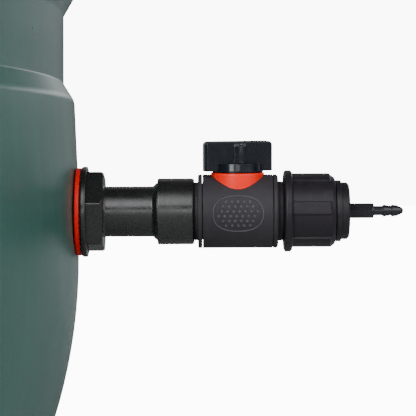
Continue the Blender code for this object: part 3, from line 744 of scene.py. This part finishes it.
def make_back_nut(name, node, axis, start):
    """Flanged hexagon nut with turned corners and a plain bore that fits over the thread."""
    low = start - 10.0
    outer = [
        (low, 16.4, 0.4),
        (low + 1.6, 20.2, 0.4),
        (start - 2.5, 20.2, 0.4),
        (start - 2.5, 21.5, 0.4),
        (start, 21.5, 0.4),
    ]
    inner = [(low, 13.9, 0.2), (low + 0.6, THREAD_R + 0.35, 0.1), (start, THREAD_R + 0.35, 0.3)]

    def shape(place, radius, angle):
        if place < start - 2.4 and radius > 16.0:
            return min(radius, polygon_radius(35.4, angle, first=15.0))
        return radius

    nut = turned(name, outer, inner, axis, 240, shape, 1.0, 15.0)
    add(nut, node, "barrel", "black_fitting_plastic")


def make_valve_ends():
    start = VALVE_MID - VALVE_HALF
    end = VALVE_MID + VALVE_HALF
    inlet_outer = [
        (39.0, 12.2, 0.3),
        (40.0, THREAD_R - 0.1, 0.2),
        (54.1, THREAD_R - 0.1, 0.0),
        (54.1, 13.35, 0.1),
        (55.7, 13.35, 0.3),
        (55.7, VALVE_R, 0.5),
        (start - 0.25, VALVE_R, 0.3),
        (start - 0.25, 12.95, 0.1),
        (start + 1.2, 12.95, 0.1),
        (start + 1.2, 11.2, 0.1),
        (start + 3.2, 11.2, 0.1),
        (start + 3.2, 12.95, 0.1),
        (start + 5.1, 12.95, 0.3),
    ]
    inlet_inner = [(39.0, VALVE_FLOW_R, 0.5), (start + 5.1, VALVE_FLOW_R, 0.5)]
    inlet = turned("valve_inlet_stub", inlet_outer, inlet_inner, TAP_AXIS, 160)
    add(inlet, "valve_inlet_end", "barrel", "charcoal_valve_plastic")

    stub_end = 107.5
    outlet_outer = [
        (end - 5.1, 12.95, 0.3),
        (end - 3.2, 12.95, 0.1),
        (end - 3.2, 11.2, 0.1),
        (end - 1.2, 11.2, 0.1),
        (end - 1.2, 12.95, 0.1),
        (end + 0.25, 12.95, 0.1),
        (end + 0.25, VALVE_R, 0.3),
        (91.6, VALVE_R, 0.3),
        (92.3, 16.3, 0.3),
        (92.3, 13.65, 0.3),
        (94.2, 13.65, 0.2),
        (94.6, THREAD_R, 0.2),
        (stub_end - 1.0, THREAD_R, 0.2),
        (stub_end, 12.1, 0.3),
    ]
    outlet_inner = [(end - 5.1, VALVE_FLOW_R, 0.5), (stub_end, VALVE_FLOW_R, 0.5)]
    thread = thread_shape(94.9, stub_end + 0.4)
    outlet = turned("valve_outlet_stub", outlet_outer, outlet_inner, TAP_AXIS, 160, thread, 0.25)
    add(outlet, "valve_outlet_end", "barrel", "charcoal_valve_plastic")

    for name, place in (("inlet_o_ring", start + 2.2), ("outlet_o_ring", end - 2.2)):
        add(seal_ring(f"{name}_seal", place, 12.3, 0.8, TAP_AXIS), name, "barrel", "black_seal_rubber")


def seal_ring(name, place, radius, thickness, axis):
    line = []
    for i in range(16):
        angle = math.tau * i / 16
        line.append((place + thickness * math.sin(angle), radius + thickness * math.cos(angle)))
    bm = bmesh.new()
    revolve_into(bm, line, axis, 96, closed=True)
    return finish_object(name, bm)


def pad_point(across, up, lift=0.0):
    """A point on the valve body's front: across the pipe's length, and up round the body."""
    angle = math.radians(TO_CAMERA + VALVE_ROLL) - up / VALVE_R
    radius = VALVE_R + lift
    return Vector((radius * math.cos(angle), radius * math.sin(angle), VALVE_MID + across))


def make_valve_body():
    """The casing, with a dotted grip pad in a raised oval on its front and back."""
    ends = (VALVE_MID - VALVE_HALF, VALVE_MID + VALVE_HALF)
    outer = [(end, VALVE_R, 0.35) for end in ends]
    inner = [(end, 13.3, 0.3) for end in ends]
    body = turned("valve_casing", outer, inner, TAP_AXIS, 256, step=2.0)
    hole_line = [(5.0, 6.3), (13.2, 6.3), (13.2, 4.5), (25.0, 4.5)]
    hole = turned("stem_hole_cutter", hole_line, None, VALVE_AXIS, 64)
    combine("valve_casing", body, [hole], "DIFFERENCE")
    casing_faces = len(body.data.polygons)
    bm = bmesh.new()
    bm.from_mesh(body.data)
    for side in (0.0, 180.0):
        turn = TAP_AXIS @ Matrix.Rotation(math.radians(side), 4, "Z")
        add_grip_pad(bm, turn)
    bm.to_mesh(body.data)
    bm.free()
    body.data.shade_smooth()
    body.data.set_sharp_from_angle(angle=math.radians(32))
    add(body, "valve_body", "barrel", "charcoal_valve_plastic")
    # the grip pad's rim and dots take the paler plastic
    body.data.materials.append(MATERIALS["pale_pad_valve_plastic"])
    for face in body.data.polygons[casing_faces:]:
        face.material_index = 1


def add_grip_pad(bm, matrix):
    """The pad's raised rim, a superellipse, and its rows of dots."""
    half_width = 11.3
    half_height = 8.3
    power = 2.35  # 2 would make an ellipse
    outline = []
    for i in range(96):
        angle = math.tau * i / 96
        c = math.cos(angle)
        s = math.sin(angle)
        across = half_width * math.copysign(abs(c) ** (2 / power), c)
        up = half_height * math.copysign(abs(s) ** (2 / power), s)
        point = pad_point(across, up, 0.02)
        outline.append(matrix @ Vector((point.x * MM, point.y * MM, point.z * MM)))
    outward = matrix.to_3x3() @ Vector((0, -1, 0))
    tube_into(bm, outline, 0.28, outward, 8, closed=True)
    row_pitch = 2.2
    dot_pitch = 2.7
    counts = (5, 6, 7, 7, 6, 5)
    shifts = (0.0, 0.0, 0.25, -0.25, 0.0, 0.0)  # in dot pitches; sets the two middle rows apart
    for row, (count, shift) in enumerate(zip(counts, shifts)):
        up = (2.5 - row) * row_pitch
        for dot in range(count):
            across = (dot - (count - 1) / 2 + shift) * dot_pitch
            dot_into(bm, matrix, across, up)


def dot_into(bm, matrix, across, up):
    """A low rounded stud on the pad."""
    centre = pad_point(across, up, -0.15)
    outward = Vector((centre.x, centre.y, 0)).normalized()
    turn = outward.to_track_quat("Z", "Y").to_matrix().to_4x4()
    place = matrix @ Matrix.Translation(centre * MM) @ turn
    made = bmesh.new()
    profile = [(-0.3, 0.62), (0.15, 0.62), (0.36, 0.52), (0.47, 0.32), (0.5, 0.0)]
    revolve_into(made, [(-0.3, 0.0), *profile], place, 14, closed=False)
    bmesh.ops.recalc_face_normals(made, faces=made.faces[:])
    merge_into(bm, made)


def make_ball_and_seats():
    for name, side in (("inlet_seat", -1), ("outlet_seat", 1)):
        back = 10.6
        outer = [(VALVE_MID + side * back, 12.3, 0.3), (VALVE_MID + side * (back - 3.5), 12.3, 0.3)]
        inner = [
            (VALVE_MID + side * back, 7.8, 0.3),
            (VALVE_MID + side * (back - 1.6), 7.8, 0.3),
            (VALVE_MID + side * (back - 3.5), 9.9, 0.2),
        ]
        if side > 0:
            outer.reverse()
            inner.reverse()
        seat = turned(f"{name}_ring", outer, inner, TAP_AXIS, 128)
        add(seat, name, "barrel", "white_seat_plastic")

    ball_r = 11.45
    bore_r = 6.5
    edge = math.asin(bore_r / ball_r)
    line = []
    for i in range(33):
        angle = edge + (math.pi - 2 * edge) * i / 32
        line.append((-ball_r * math.cos(angle), ball_r * math.sin(angle)))
    half = ball_r * math.cos(edge)
    line += [(half - 0.3, bore_r - 0.1), (-half + 0.3, bore_r - 0.1)]
    bm = bmesh.new()
    revolve_into(bm, line, HANDLE_AXIS @ Matrix.Rotation(math.pi / 2, 4, "Y"), 96, closed=True)
    ball = finish_object("valve_flow_ball", bm)
    slot = box("ball_slot_cutter", (30.0, 3.2, 8.0), (0, 0, 12.2), HANDLE_AXIS)
    combine("valve_flow_ball", ball, [slot], "DIFFERENCE")
    add(ball, "valve_ball", "valve_handle", "white_seat_plastic")


def make_stem():
    stem_outer = [
        (11.7, 6.0, 0.2),
        (12.9, 6.0, 0.2),
        (12.9, 4.2, 0.1),
        (14.0, 4.2, 0.1),
        (14.0, 2.6, 0.1),
        (16.0, 2.6, 0.1),
        (16.0, 4.2, 0.1),
        (18.0, 4.2, 0.2),
    ]
    stem = turned("valve_spindle", stem_outer, None, HANDLE_AXIS, 96)
    tongue = box("tongue", (8.0, 2.6, 3.5), (0, 0, 10.3), HANDLE_AXIS, 0.3)
    drive = box("drive", (5.6, 5.6, 10.5), (0, 0, 22.0), HANDLE_AXIS, 0.4)
    combine("valve_spindle", stem, [tongue, drive])
    add(stem, "valve_stem", "valve_handle", "black_fitting_plastic")
    ring = seal_ring("stem_seal", 15.0, 3.6, 0.65, HANDLE_AXIS)
    add(ring, "stem_o_ring", "valve_handle", "black_seal_rubber")


def make_collar():
    """The saddle that fills the space between the round casing and the knob."""
    top = 17.9
    hole = 4.8
    half_x = 12.25
    half_y = 13.0
    bevel = 0.45
    wall_steps = 6
    casing_r = VALVE_R + 0.06
    segments = 192
    bm = bmesh.new()
    rings = []

    def ring(share, height):
        made = []
        for i in range(segments):
            angle = math.tau * i / segments
            x = half_x * share * math.cos(angle)
            y = half_y * share * math.sin(angle)
            z = math.sqrt(casing_r**2 - y * y) if height is None else height
            made.append(bm.verts.new(VALVE_AXIS @ Vector((x * MM, y * MM, z * MM))))
        return made

    inner_share = hole / half_x
    for share, drop in ((inner_share, 0.0), (0.7, 0.0), (0.965, 0.0), (0.99, 0.12), (1.0, bevel)):
        rings.append(ring(share, top - drop))
    for step in range(1, wall_steps):
        made = []
        for i in range(segments):
            angle = math.tau * i / segments
            x = half_x * math.cos(angle)
            y = half_y * math.sin(angle)
            low = math.sqrt(casing_r**2 - y * y)
            z = top - bevel + (low - top + bevel) * step / wall_steps
            made.append(bm.verts.new(VALVE_AXIS @ Vector((x * MM, y * MM, z * MM))))
        rings.append(made)
    for share in (1.0, 0.85, 0.7, inner_share):
        rings.append(ring(share, None))
    skin_into(bm, rings, closed=True)
    collar = finish_object("stem_saddle_collar", bm, sharp=40.0)
    add(collar, "stem_collar", "barrel", "orange_collar_plastic")


def make_knob():
    """Base, bar and the double rib down the middle of each side, moulded in one."""
    base = turned(
        "knob_base",
        [
            (18.2, 11.8, 0.2),
            (18.8, 11.8, 0.2),
            (18.9, 11.1, 0.1),
            (22.1, 11.0, 0.3),
            (22.7, 10.3, 0.5),
            (22.7, 3.0, 0.0),
        ],
        None,
        HANDLE_AXIS,
        192,
    )
    combine("valve_bar_knob", base, [make_knob_bar(), make_knob_rib(1.0), make_knob_rib(-1.0)])
    socket = box("knob_socket_cutter", (6.2, 6.2, 18.0), (0, 0, 18.6), HANDLE_AXIS)
    combine("valve_bar_knob", base, [socket], "DIFFERENCE")
    add(base, "valve_knob", "valve_handle", "blue_black_handle_plastic")


def make_knob_bar():
    """The bar to turn it by; each half of each face swells a little, so that a thumb finds it."""
    half_length = 15.85
    half_thick = 3.45
    corner_r = 0.7
    low = 18.6
    top = 32.25
    shoulder = 1.9
    edge = 0.5
    swell = 0.42
    flat = half_length - corner_r
    steps = 40
    section = []
    for i in range(steps + 1):
        across = flat * (2 * i / steps - 1)
        section.append((across, -half_thick - swell * math.sin(math.pi * abs(across) / flat)))
    for side in (-1, 1):
        for step in range(4):
            angle = math.radians(22.5 * (step - 3 if side < 0 else step))
            middle = side * (half_thick - corner_r)
            section.append((flat + corner_r * math.cos(angle), middle + corner_r * math.sin(angle)))
    section += [(-x, -y) for x, y in section]

    levels = [(low, 0.0)]
    for step in range(9):
        angle = math.radians(90.0 * step / 8)
        levels.append((top - shoulder * (1 - math.sin(angle)), shoulder * (1 - math.cos(angle))))
    bm = bmesh.new()
    rings = []
    for height, tuck in levels:
        over = max(0.0, height - (top - edge))
        thinned = edge - math.sqrt(max(0.0, edge**2 - over**2))
        reach = (half_length - tuck) / half_length
        depth = (half_thick - thinned) / half_thick
        places = [Vector((x * reach * MM, y * depth * MM, height * MM)) for x, y in section]
        rings.append([bm.verts.new(HANDLE_AXIS @ place) for place in places])
    skin_into(bm, rings)
    cap_into(bm, rings)
    return finish_object("knob_bar", bm)


def make_knob_rib(side):
    """Two ridges with a valley between, standing proud of the bar's face and rounded at the top."""
    section = [
        (-3.4, 2.6),
        (-2.9, 3.95),
        (-2.5, 4.25),
        (-2.1, 4.2),
        (-0.9, 3.75),
        (0.1, 3.95),
        (0.9, 4.35),
        (1.3, 4.5),
        (2.6, 4.5),
        (3.0, 4.25),
        (3.4, 2.6),
    ]
    bm = bmesh.new()
    heights = [(22.0, 0.0), (29.6, 0.0), (30.7, 0.1), (31.2, 0.35), (31.45, 0.8)]
    rings = []
    for height, tuck in heights:
        ring = []
        for across, depth in section:
            narrow = 1.0 - 0.025 * (30.0 - height) / 8.0
            place = Vector((side * across * narrow * MM, -side * (depth - tuck) * MM, height * MM))
            ring.append(bm.verts.new(HANDLE_AXIS @ place))
        rings.append(ring)
    skin_into(bm, rings)
    cap_into(bm, rings)
    return finish_object("knob_rib", bm)


def make_swivel_nut():
    """A hand nut with a rim flange and six ribs, of which the second is twice as wide."""
    rib_high = 116.2
    rib_rise = 0.75
    first_rib = TO_CAMERA - 4.5
    panel = 16.6
    rib_middles = (0.0, 60.0, 78.0, 120.0, 180.0, 240.0, 300.0)  # degrees on from the first
    outer = [
        (95.0, 17.7, 0.3),
        (95.6, 18.75, 0.6),
        (98.1, 18.75, 0.6),
        (98.75, 17.9, 0.3),
        (98.75, panel, 0.3),
        (rib_high + 0.3, panel, 1.2),
        (118.2, 15.4, 0.7),
        (118.4, 14.9, 0.2),
    ]
    inner = [
        (95.0, 14.3, 0.3),
        (95.8, 13.6, 0.2),
        (112.4, 13.6, 0.2),
        (112.4, 10.3, 0.2),
        (118.4, 10.3, 0.3),
    ]

    def ribbed(place, radius, angle):
        if radius < 15.4 or place < 98.76:
            return radius
        off = min(abs((first_rib - angle - middle + 180.0) % 360.0 - 180.0) for middle in rib_middles)
        side = smooth_step(10.6, 9.2, off)
        ends = smooth_step(rib_high + 0.25, rib_high - 0.35, place)
        return radius + rib_rise * side * ends

    nut = turned("outlet_swivel_nut", outer, inner, TAP_AXIS, 540, ribbed, 0.4)
    add(nut, "swivel_nut", "swivel_nut", "nut_plastic")


def make_outlet():
    seal = turned(
        "outlet_sealing_disc",
        [(107.8, 13.0, 0.2), (109.6, 13.0, 0.2)],
        [(107.8, 7.5, 0.2), (109.6, 7.5, 0.2)],
        TAP_AXIS,
    )
    add(seal, "outlet_flat_seal", "outlet_tail", "black_seal_rubber")
    tail = turned(
        "outlet_tail_insert",
        [(109.9, 13.1, 0.3), (112.1, 13.1, 0.3), (112.1, 10.0, 0.2), (124.6, 10.0, 0.3)],
        [(109.9, 6.0, 0.3), (115.0, 6.0, 0.2), (115.0, 5.1, 0.1), (124.6, 5.1, 0.2)],
        TAP_AXIS,
    )
    add(tail, "outlet_tail", "outlet_tail", "black_fitting_plastic")
    collar = turned(
        "outlet_stepped_collar",
        [
            (118.7, 14.1, 0.3),
            (121.2, 14.1, 0.35),
            (121.2, 13.1, 0.1),
            (124.0, 13.1, 0.6),
            (124.9, 12.1, 0.4),
        ],
        [(118.7, 10.2, 0.2), (124.9, 10.2, 0.3)],
        TAP_AXIS,
        192,
    )
    add(collar, "tail_collar", "outlet_tail", "nut_plastic")

    hex_low = 124.95
    hex_high = 136.4
    core = 2.2
    outer = [
        (116.0, 4.2, 0.2),
        (116.5, 4.8, 0.2),
        (124.8, 4.8, 0.1),
        (124.8, 3.95, 0.0),
        (hex_low, 3.95, 0.0),
        (hex_low + 0.5, 3.95, 0.2),
        (hex_high - 0.9, 3.95, 0.3),
        (hex_high, 3.3, 0.2),
        (hex_high, core, 0.3),
        (140.6, core, 0.2),
        (140.75, 2.78, 0.12),
        (141.1, 2.78, 0.2),
        (144.5, core - 0.05, 0.3),
        (144.65, 2.78, 0.12),
        (145.0, 2.78, 0.3),
        (147.2, 2.42, 3.0),
        (148.9, 1.75, 2.0),
        (150.0, 0.9, 0.25),
    ]
    inner = [(116.0, 0.7, 0.1), (150.0, 0.7, 0.05)]

    def shape(place, radius, angle):
        if hex_low < place < hex_high + 0.01 and radius > 2.7:
            return min(radius, polygon_radius(6.85, angle, first=TO_CAMERA))
        return radius

    barb = turned("barbed_spigot", outer, inner, TAP_AXIS, 120, shape, 0.4, TO_CAMERA)
    add(barb, "barb_connector", "outlet_tail", "barb_plastic")


def make_overflow():
    outer = [
        (-24.0, THREAD_R - 1.0, 0.3),
        (-23.0, THREAD_R - 0.1, 0.2),
        (2.35, THREAD_R - 0.1, 0.0),
        (2.35, 22.0, 0.5),
        (5.5, 22.0, 0.6),
        (5.5, 10.5, 1.0),
        (26.0, 10.5, 0.2),
        (26.0, 11.7, 0.3),
        (33.0, 10.5, 0.5),
        (35.0, 10.5, 0.2),
        (35.0, 11.7, 0.3),
        (44.0, 9.7, 0.5),
    ]
    inner = [(-24.0, 8.0, 0.4), (44.0, 8.0, 0.5)]
    thread = thread_shape(-23.0, -7.0)
    spigot = turned("overflow_hose_spigot", outer, inner, OVERFLOW_AXIS, 160, thread, 0.45)
    add(spigot, "overflow_spigot", "barrel", "black_fitting_plastic")


# ---------------------------------------------------------------- the studio


def area_light(name, place, aim, size, power):
    lamp = bpy.data.lights.new(name, "AREA")
    lamp.shape = "RECTANGLE"
    lamp.size, lamp.size_y = size
    lamp.energy = power
    obj = bpy.data.objects.new(name, lamp)
    obj.location = place
    obj.rotation_euler = (Vector(aim) - Vector(place)).to_track_quat("-Z", "Y").to_euler()
    bpy.context.scene.collection.objects.link(obj)


def make_camera():
    """A long lens, level with the tap, looking along +Y at the pipe's middle."""
    aim = Vector((WALL_X + AIM_OUT, 0, TAP_Z + AIM_UP))
    raised = math.radians(CAMERA_RAISED)
    away = Vector((0, -CAMERA_DISTANCE * math.cos(raised), CAMERA_DISTANCE * math.sin(raised)))
    camera_data = bpy.data.cameras.new("camera")
    camera_data.lens = LENS
    camera_data.sensor_width = 36.0
    camera_data.clip_start = 0.02
    camera = bpy.data.objects.new("camera", camera_data)
    camera.location = aim + away
    turn = (aim - camera.location).to_track_quat("-Z", "Y").to_matrix().to_4x4()
    roll = Matrix.Rotation(math.radians(CAMERA_ROLL), 4, "Z")
    camera.rotation_euler = (turn @ roll).to_euler()
    bpy.context.scene.collection.objects.link(camera)
    bpy.context.scene.camera = camera


def studio_light_strength(tree):
    """The studio's soft boxes as smooth windows of (azimuth, elevation), seen from the tap.

    Azimuth is counted from the camera's side, to the right; both are in degrees.
    """

    def maths(operation, a, b=0.0):
        node = tree.nodes.new("ShaderNodeMath")
        node.operation = operation
        for socket, value in zip(node.inputs, (a, b)):
            if isinstance(value, bpy.types.NodeSocket):
                tree.links.new(value, socket)
            else:
                socket.default_value = value
        return node.outputs[0]

    def ramp(value, low, high):
        """Rises smoothly from 0 at low to 1 at high, or falls where low is above high."""
        node = tree.nodes.new("ShaderNodeMapRange")
        node.interpolation_type = "SMOOTHSTEP"
        tree.links.new(value, node.inputs["Value"])
        rises = float(low < high)
        limits = (min(low, high), max(low, high), 1 - rises, rises)
        for key, limit in zip(("From Min", "From Max", "To Min", "To Max"), limits):
            node.inputs[key].default_value = limit
        return node.outputs["Result"]

    coords = tree.nodes.new("ShaderNodeTexCoord")
    split = tree.nodes.new("ShaderNodeSeparateXYZ")
    tree.links.new(coords.outputs["Generated"], split.inputs[0])
    x, y, z = split.outputs
    azimuth = maths("MULTIPLY", maths("ARCTAN2", x, maths("MULTIPLY", y, -1.0)), 180 / math.pi)
    elevation = maths("MULTIPLY", maths("ARCSINE", z), 180 / math.pi)

    total = AMBIENT
    for strength, (left, right), foot, head in SOFT_BOXES:
        box = maths("MULTIPLY", ramp(azimuth, *left), ramp(azimuth, *right))
        box = maths("MULTIPLY", box, ramp(elevation, *foot))
        box = maths("MULTIPLY", box, ramp(elevation, *head))
        total = maths("ADD", maths("MULTIPLY", box, strength), total)
    return total


def make_studio():
    middle = Vector((VALVE_X, 0, TAP_Z))
    area_light("back_softbox", BACK_SOFTBOX_PLACE, middle, BACK_SOFTBOX_SIZE, BACK_SOFTBOX_WATTS)

    world = bpy.data.worlds.new("studio")
    world.use_nodes = True
    bpy.context.scene.world = world
    tree = world.node_tree
    tree.nodes.clear()
    out = tree.nodes.new("ShaderNodeOutputWorld")
    mix = tree.nodes.new("ShaderNodeMixShader")
    rays = tree.nodes.new("ShaderNodeLightPath")
    seen = tree.nodes.new("ShaderNodeBackground")
    seen.inputs["Strength"].default_value = BACKDROP
    lit = tree.nodes.new("ShaderNodeBackground")
    lit.inputs["Color"].default_value = SKY_TINT
    tree.links.new(studio_light_strength(tree), lit.inputs["Strength"])
    tree.links.new(rays.outputs["Is Camera Ray"], mix.inputs[0])
    tree.links.new(lit.outputs[0], mix.inputs[1])
    tree.links.new(seen.outputs[0], mix.inputs[2])
    tree.links.new(mix.outputs[0], out.inputs["Surface"])

    bm = bmesh.new()
    bmesh.ops.create_grid(bm, x_segments=1, y_segments=1, size=20.0)
    floor = finish_object("studio_floor", bm, fix_normals=False)
    floor.location.z = -FLOOR_DROP
    material = bpy.data.materials.new("studio_floor")
    material.use_nodes = True
    tree = material.node_tree
    shader = tree.nodes["Principled BSDF"]
    shader.inputs["Base Color"].default_value = FLOOR_GREY
    shader.inputs["Roughness"].default_value = FLOOR_ROUGHNESS
    glow = tree.nodes.new("ShaderNodeEmission")
    glow.inputs["Strength"].default_value = FLOOR_GLOW
    rays = tree.nodes.new("ShaderNodeLightPath")
    lit_only = tree.nodes.new("ShaderNodeMixShader")
    both = tree.nodes.new("ShaderNodeAddShader")
    tree.links.new(shader.outputs[0], both.inputs[0])
    tree.links.new(glow.outputs[0], both.inputs[1])
    tree.links.new(rays.outputs["Is Camera Ray"], lit_only.inputs[0])
    tree.links.new(shader.outputs[0], lit_only.inputs[1])
    tree.links.new(both.outputs[0], lit_only.inputs[2])
    tree.links.new(lit_only.outputs[0], tree.nodes["Material Output"].inputs["Surface"])
    floor.data.materials.append(material)


MATERIALS = make_materials()
make_camera()
make_studio()
make_barrel()
make_lid()
make_leaf_screen()
make_wall_seals()
make_tank_connector()
make_back_nut("tank_clamp_nut", "tank_back_nut", TAP_AXIS, -7.1)
make_back_nut("overflow_clamp_nut", "overflow_back_nut", OVERFLOW_AXIS, -4.3)
make_valve_body()
make_valve_ends()
make_ball_and_seats()
make_stem()
make_collar()
make_knob()
make_swivel_nut()
make_outlet()
make_overflow()
